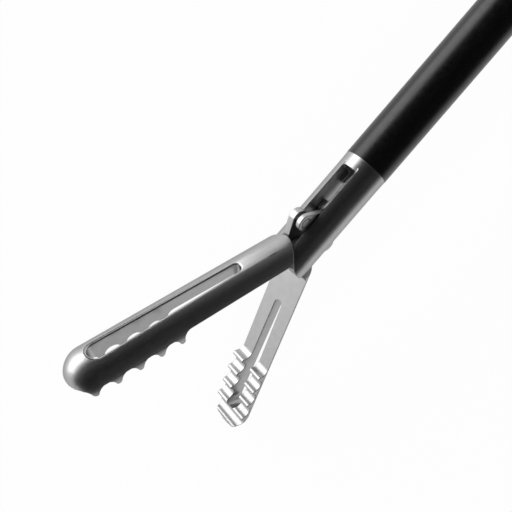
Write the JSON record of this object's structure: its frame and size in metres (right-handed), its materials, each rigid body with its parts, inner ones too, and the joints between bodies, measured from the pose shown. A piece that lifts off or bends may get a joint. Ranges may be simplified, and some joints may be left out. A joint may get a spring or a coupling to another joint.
{
  "type": "laparoscopic grasper",
  "caption": "Ring-handled laparoscopic grasper: slim black insulated shaft, turning knob, and windowed wave-toothed jaws opened by a crossing link mechanism",
  "frame": {"origin": "On the shaft's axis, at the front face of the rotation knob, where the bare shaft begins", "axes": "+X along the shaft towards the jaws; +Z normal to the side of the handle; the finger rings lie on the -Y side"},
  "size_m": [0.4374, 0.1183, 0.0282],
  "materials": {
    "ground_steel": "finely ground stainless steel, satin",
    "pin_steel": "turned stainless steel",
    "tube_steel": "drawn stainless tube, satin",
    "black_insulation": "black shrink-fitted insulation, semi-matt",
    "black_plastic": "moulded black autoclavable plastic, fine grain",
    "white_guide": "white low-friction plastic",
    "grey_silicone": "moulded silicone rubber, matt",
    "connector_brass": "turned and plated brass"
  },
  "bodies": {
    "handle": {"shell_left": "black_plastic", "shell_right": "black_plastic", "screw_front": "pin_steel", "screw_rear": "pin_steel", "screw_grip": "pin_steel", "lever_pin": "pin_steel", "hf_collar": "black_plastic", "hf_pin": "connector_brass", "flush_port": "tube_steel", "flush_cap": "grey_silicone"},
    "lever": {"thumb_lever": "black_plastic"},
    "rotor": {"rotation_knob": "black_plastic", "knob_hub": "tube_steel", "retaining_ring": "pin_steel", "shaft_seal": "grey_silicone", "inner_tube": "tube_steel", "insulation_sleeve": "black_insulation", "rod_bushing": "white_guide", "yoke": "ground_steel", "pivot_pin": "pin_steel"},
    "rod": {"pull_rod": "pin_steel", "rod_ball": "pin_steel"},
    "upper_jaw": {"jaw_a": "ground_steel", "tail_pin_a": "pin_steel"},
    "lower_jaw": {"jaw_b": "ground_steel", "tail_pin_b": "pin_steel"},
    "upper_link": {"link_a": "ground_steel", "rod_pin": "pin_steel"},
    "lower_link": {"link_b": "ground_steel"}
  },
  "joints": [
    {"name": "lever_pivot", "type": "hinge", "parent": "handle", "child": "lever", "pos_m": [-0.056, -0.012, 0], "axis": [0, 0, 1], "range_deg": [0, 11.2]},
    {"name": "knob_turn", "type": "hinge", "parent": "handle", "child": "rotor", "pos_m": [0, 0, 0], "axis": [1, 0, 0], "continuous": true},
    {"name": "rod_slide", "type": "slide", "parent": "rotor", "child": "rod", "axis": [1, 0, 0], "range_m": [-0.00236, 0]},
    {"name": "upper_jaw_pivot", "type": "hinge", "parent": "rotor", "child": "upper_jaw", "pos_m": [0.3043, 0, 0], "axis": [0, 0.832, 0.5548], "range_deg": [0, 32.5]},
    {"name": "lower_jaw_pivot", "type": "hinge", "parent": "rotor", "child": "lower_jaw", "pos_m": [0.3043, 0, 0], "axis": [0, 0.832, 0.5548], "range_deg": [-32.5, 0]},
    {"name": "upper_link_pin", "type": "hinge", "parent": "upper_jaw", "child": "upper_link", "pos_m": [0.30172, 0.00164, -0.00245], "axis": [0, 0.832, 0.5548], "range_deg": [-65, 0]},
    {"name": "lower_link_pin", "type": "hinge", "parent": "lower_jaw", "child": "lower_link", "pos_m": [0.30172, -0.00164, 0.00245], "axis": [0, 0.832, 0.5548], "range_deg": [0, 65]}
  ],
  "couplings": [
    {"joint": "rod_slide", "follows": "lever_pivot", "m_per_rad": -0.012039},
    {"joint": "upper_jaw_pivot", "follows": "lever_pivot", "ratio": 2.8926},
    {"joint": "lower_jaw_pivot", "follows": "lever_pivot", "ratio": -2.8926},
    {"joint": "upper_link_pin", "follows": "lever_pivot", "ratio": -5.7852},
    {"joint": "lower_link_pin", "follows": "lever_pivot", "ratio": 5.7852}
  ]
}
